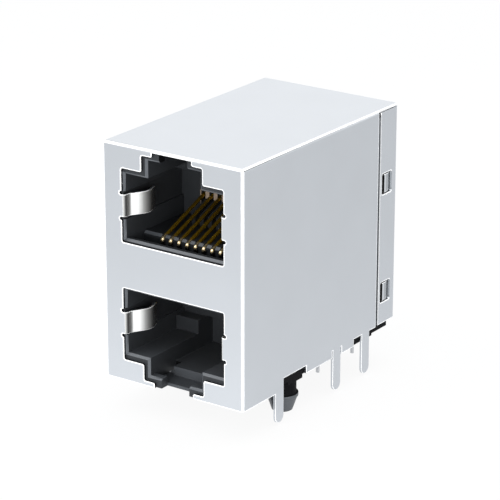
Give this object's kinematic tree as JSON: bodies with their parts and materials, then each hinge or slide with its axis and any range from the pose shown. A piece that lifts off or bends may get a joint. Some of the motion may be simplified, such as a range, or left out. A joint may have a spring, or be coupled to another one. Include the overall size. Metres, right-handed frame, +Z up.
{
  "type": "rj45 board jack",
  "caption": "Stacked modular jack for a circuit board, with a folded shield, ground fingers, sprung contacts, split pegs and solder tails.",
  "frame": {"origin": "on the board surface, midway across the front face of the shield", "axes": "+X across the ports to the right as seen from the front, +Y from the front face to the rear, +Z up from the board"},
  "size_m": [0.017, 0.0278, 0.0285],
  "materials": {
    "shield": "satin tin plate over thin sheet",
    "plastic": "black moulded plastic with a soft gloss",
    "contact": "gold plate on the springs, tin plate on the tails"
  },
  "bodies": {
    "root": {"front_shield": "shield", "rear_cover": "shield", "housing": "plastic", "upper_insert": "plastic", "lower_insert": "plastic", "pin_organiser": "plastic", "upper_contact_1": "contact", "upper_contact_2": "contact", "upper_contact_3": "contact", "upper_contact_4": "contact", "upper_contact_5": "contact", "upper_contact_6": "contact", "upper_contact_7": "contact", "upper_contact_8": "contact", "lower_contact_1": "contact", "lower_contact_2": "contact", "lower_contact_3": "contact", "lower_contact_4": "contact", "lower_contact_5": "contact", "lower_contact_6": "contact", "lower_contact_7": "contact", "lower_contact_8": "contact"}
  },
  "joints": []
}
